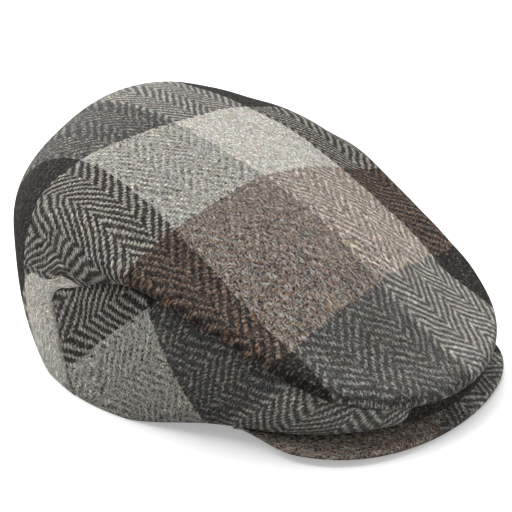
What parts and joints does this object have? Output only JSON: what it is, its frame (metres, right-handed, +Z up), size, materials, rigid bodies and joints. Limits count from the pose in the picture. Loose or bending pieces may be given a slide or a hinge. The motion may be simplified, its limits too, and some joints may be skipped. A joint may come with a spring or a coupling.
{
  "type": "flat cap",
  "caption": "Soft herringbone tweed flat cap with a sloping crown, side wings and a short stiff peak, open below for the head.",
  "frame": {"origin": "middle of the cap's bounding box on the surface that it rests on", "axes": "+Z up, -Y towards the peak, +X towards the wearer's left"},
  "size_m": [0.1824, 0.239, 0.1198],
  "materials": {
    "centre_cloth": "matte",
    "side_cloth": "matte",
    "peak_cloth": "matte"
  },
  "bodies": {
    "root": {"centre_panel": "centre_cloth", "side_panel_right": "side_cloth", "side_panel_left": "side_cloth", "peak": "peak_cloth"}
  },
  "joints": []
}
